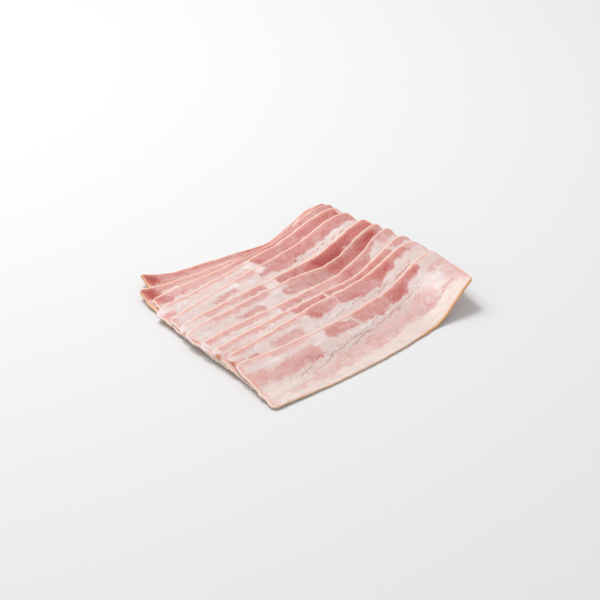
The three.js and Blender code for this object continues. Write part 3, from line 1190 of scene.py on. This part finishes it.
def tone_ramp(tree, tone, place, grain):
    mottle = noise(tree, place, scale=240, detail=3, roughness=0.6)
    shifted = maths(tree, "MULTIPLY_ADD", maths(tree, "SUBTRACT", mottle, 0.5), MOTTLING, tone)
    shifted = maths(tree, "MULTIPLY_ADD", maths(tree, "SUBTRACT", grain, 0.5), GRAIN_IN_LEAN, shifted)
    ramp = node(tree, "ShaderNodeValToRGB")
    ramp.color_ramp.interpolation = "EASE"
    while len(ramp.color_ramp.elements) < len(LEAN_TONES):
        ramp.color_ramp.elements.new(0.5)
    for element, (position, colour) in zip(ramp.color_ramp.elements, LEAN_TONES):
        element.position = position
        element.color = colour
    feed(tree, ramp.inputs["Fac"], shifted)
    return ramp.outputs["Color"]


def lean_colour(tree, place, tone, grain, flecks):
    lean = tone_ramp(tree, tone, place, grain)
    paleness = maths(tree, "MULTIPLY_ADD", tone, -WEB_LOSS, 1.0)
    net = maths(tree, "MULTIPLY", bundle_net(tree, place), paleness)
    lean = blend(tree, maths(tree, "MULTIPLY", net, WEBBING), lean, FAT_PINKISH)
    specks = step_between(tree, flecks, low=0.53, high=0.74, height=0.8)
    return blend(tree, maths(tree, "MULTIPLY", specks, paleness), lean, FAT_PINKISH)


print("mottling shifts the tone by up to", MOTTLING / 2)

# %% [markdown]
# ### Furrows, rims and rind
#
# A furrow shows as a thin red line: painted shade in the crease, red with the light that comes
# through the meat there. Towards the cut rim the meat turns a warm orange over about 3 mm, in
# patches, and the very rim is a painted highlight, a bright line of peach, or of white where the fat
# is white, for the light that the rounded cut edge catches from behind and lets through. The rind is
# amber.

# %% Colours along the edges
FURROW_SHARPNESS = 2.0
FURROW_STRENGTH = 0.78
# Share of the warm orange that is lost where the fat is white
WARMTH_LOSS = 0.75
# How much the patches add to the painted highlight line at the rim
PATCHY_RIM_HIGHLIGHT = 0.9


def creased(tree, meat, furrow_and_shade):
    depth = maths(tree, "POWER", furrow_and_shade, FURROW_SHARPNESS)
    return blend(tree, maths(tree, "MULTIPLY", depth, FURROW_STRENGTH), meat, FURROW_SHADE_RED)


def trimmed(tree, place, meat, rim, amber, white):
    patchy = noise(tree, place, scale=150)
    warmth = maths(tree, "MULTIPLY", patchy, step_between(tree, rim, low=3.8, high=0.8, height=1.05))
    not_white = maths(tree, "MULTIPLY_ADD", white, -WARMTH_LOSS, 1.0)
    meat = blend(tree, maths(tree, "MULTIPLY", warmth, not_white), meat, EDGE_ORANGE)
    # The very rim gets a painted highlight, stronger in patches
    rim_highlight_line = step_between(tree, rim, low=1.15, high=0.3)
    rim_highlight = maths(tree, "MULTIPLY_ADD", patchy, PATCHY_RIM_HIGHLIGHT, rim_highlight_line)
    rim_highlight_colour = blend(tree, white, RIM_HIGHLIGHT_PEACH, FAT_WHITE)
    rim_highlight_share = step_between(tree, rim_highlight, low=0.75, high=1.35, height=0.9)
    meat = blend(tree, rim_highlight_share, meat, rim_highlight_colour)
    return blend(tree, amber, meat, RIND_AMBER)


print("furrows are mixed in by up to", FURROW_STRENGTH)

# %% [markdown]
# ### Gloss and fine relief
#
# Numbers that are the same all over are set on the shader's own sockets. The roughness varies with
# patches of damp. A wet place gets a clear coat over the meat, with streaky ripples of its own, so
# that its highlight breaks up into short strokes. Fat stands a little prouder than lean.

# %% Gloss and relief
LIGHT_REACH = 1.4 * MM
RELIEF = 0.28 * MM
RIPPLE_HEIGHT = 0.9 * MM
LEAST_ROUGHNESS = 0.3
ROUGHNESS_RANGE = 0.3
ROUGHNESS_LOST_WET = 0.12
FAT_STANDS_PROUD = 0.35
FLECKS_IN_MEAT = 0.4
FLECKS_IN_COAT = 0.5


def moisten(tree, shader, place, wet):
    damp = noise(tree, place, scale=230, detail=3, roughness=0.6)
    moist = maths(tree, "MULTIPLY_ADD", damp, ROUGHNESS_RANGE, LEAST_ROUGHNESS)
    roughness = maths(tree, "MULTIPLY_ADD", wet, -ROUGHNESS_LOST_WET, moist)
    feed(tree, shader.inputs["Roughness"], roughness)
    feed(tree, shader.inputs["Coat Weight"], wet)
    shader.inputs["Coat Roughness"].default_value = 0.12
    shader.inputs["Subsurface Weight"].default_value = 0.4
    shader.inputs["Subsurface Radius"].default_value = (1.0, 0.4, 0.3)
    shader.inputs["Subsurface Scale"].default_value = LIGHT_REACH
    shader.inputs["IOR"].default_value = 1.4


def bump_map(tree, height, strength, distance):
    bump = node(tree, "ShaderNodeBump")
    bump.inputs["Strength"].default_value = strength
    bump.inputs["Distance"].default_value = distance
    feed(tree, bump.inputs["Height"], height)
    return bump.outputs["Normal"]


def roughen(tree, shader, place, is_lean, grain, flecks):
    is_fat = maths(tree, "SUBTRACT", 1.0, is_lean)
    height = maths(tree, "MULTIPLY_ADD", is_fat, FAT_STANDS_PROUD, grain)
    height = maths(tree, "MULTIPLY_ADD", flecks, FLECKS_IN_MEAT, height)
    feed(tree, shader.inputs["Normal"], bump_map(tree, height, strength=0.6, distance=RELIEF))
    streaks = noise(tree, stretched(tree, place, (0.3, 1.1, 1.0)), scale=800)
    ripples = maths(tree, "MULTIPLY_ADD", flecks, FLECKS_IN_COAT, streaks)
    rippled = bump_map(tree, ripples, strength=1.0, distance=RIPPLE_HEIGHT)
    feed(tree, shader.inputs["Coat Normal"], rippled)


print("light travels about", round(LIGHT_REACH * 1000, 1), "mm in the meat")

# %% [markdown]
# Now the parts are put together. Slicing drags the meat at a slant across the rasher, so the grain
# is stretched along that slant. The grain and the flecks serve both the colour and the relief,
# because on real meat they are the same thing.

# %% Build the material
GRAIN_TURN = np.radians(-52)
GRAIN_STRETCH = (0.3, 1.5, 1.0)


def cured_pork():
    material = bpy.data.materials.new("cured_pork")
    material.use_nodes = True
    tree = material.node_tree
    shader = tree.nodes["Principled BSDF"]
    place = node(tree, "ShaderNodeTexCoord").outputs["Object"]
    cover, tone, furrow_and_shade, cream = channels_of(tree, "marbling")
    rim, amber, wet, white = channels_of(tree, "trim")
    grain_place = stretched(tree, place, GRAIN_STRETCH, GRAIN_TURN)
    grain = noise(tree, grain_place, scale=620, detail=3, roughness=0.6)
    flecks = noise(tree, place, scale=950, detail=3, roughness=0.6)

    is_lean = lean_mask(tree, place, cover)
    fat = fat_colour(tree, place, cream, white, grain)
    lean = lean_colour(tree, place, tone, grain, flecks)
    meat = creased(tree, blend(tree, is_lean, fat, lean), furrow_and_shade)
    meat = trimmed(tree, place, meat, rim, amber, white)
    feed(tree, shader.inputs["Base Color"], meat)
    moisten(tree, shader, place, wet)
    roughen(tree, shader, place, is_lean, grain, flecks)
    return material


pork = cured_pork()
print("material", pork.name, "with", len(pork.node_tree.nodes), "nodes")

# %% [markdown]
# ## Seat the rashers in the frame
# Each rasher takes the material and rides on the one body. It stands in for the slab of the same
# number, which is hidden.

# %% Dress the rashers and seat them
for rasher, piece in enumerate(pieces):
    piece.data.materials.clear()
    piece.data.materials.append(pork)
    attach(piece, "root")
    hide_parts(f"rasher_{rasher + 1:02d}")
print("seated", len(pieces), "rashers")

# %% [markdown]
# ## Table and light
#
# The picture is high-key: a pale table that runs out of the frame, and big soft lights. The main
# light hangs behind and to the left, so soft shadows fall towards the camera's right, and the world
# fills them almost to nothing. A smaller light beside it gives the wet place its glint.

# %% The table
TABLE_SIZE = 6.0
bpy.ops.object.select_all(action="DESELECT")
bpy.ops.mesh.primitive_plane_add(size=TABLE_SIZE)
table = bpy.context.object
table.name = "table"
paper = bpy.data.materials.new("pale_table")
paper.use_nodes = True
paper_shader = paper.node_tree.nodes["Principled BSDF"]
paper_shader.inputs["Base Color"].default_value = linear(232, 232, 233)
paper_shader.inputs["Roughness"].default_value = 0.8
table.data.materials.append(paper)
print("the table is", TABLE_SIZE, "m across")


# %% The lights
def softbox(name, azimuth, elevation, distance, size, power):
    """A round lamp that faces the origin: angles in degrees, sizes in metres, power in watts."""
    a, e = np.radians(azimuth), np.radians(elevation)
    away = Vector((np.sin(a) * np.cos(e), -np.cos(a) * np.cos(e), np.sin(e)))
    bpy.ops.object.light_add(type="AREA", location=away * distance)
    light = bpy.context.object
    light.name = name
    light.data.shape = "DISK"
    light.data.size = size
    light.data.energy = power
    light.rotation_mode = "QUATERNION"
    light.rotation_quaternion = (-away).to_track_quat("-Z", "Y")


softbox("key_light", azimuth=182, elevation=60, distance=1.3, size=0.8, power=7.8)
softbox("glint_light", azimuth=168, elevation=65, distance=1.3, size=0.28, power=3.4)

# %% The world
WORLD_STRENGTH = 0.55
world = bpy.data.worlds.new("studio")
bpy.context.scene.world = world
world.use_nodes = True
world.node_tree.nodes["Background"].inputs["Color"].default_value = (1, 1, 1, 1)
world.node_tree.nodes["Background"].inputs["Strength"].default_value = WORLD_STRENGTH
bpy.context.scene.view_settings.view_transform = "Standard"
print("the world's strength is", WORLD_STRENGTH)
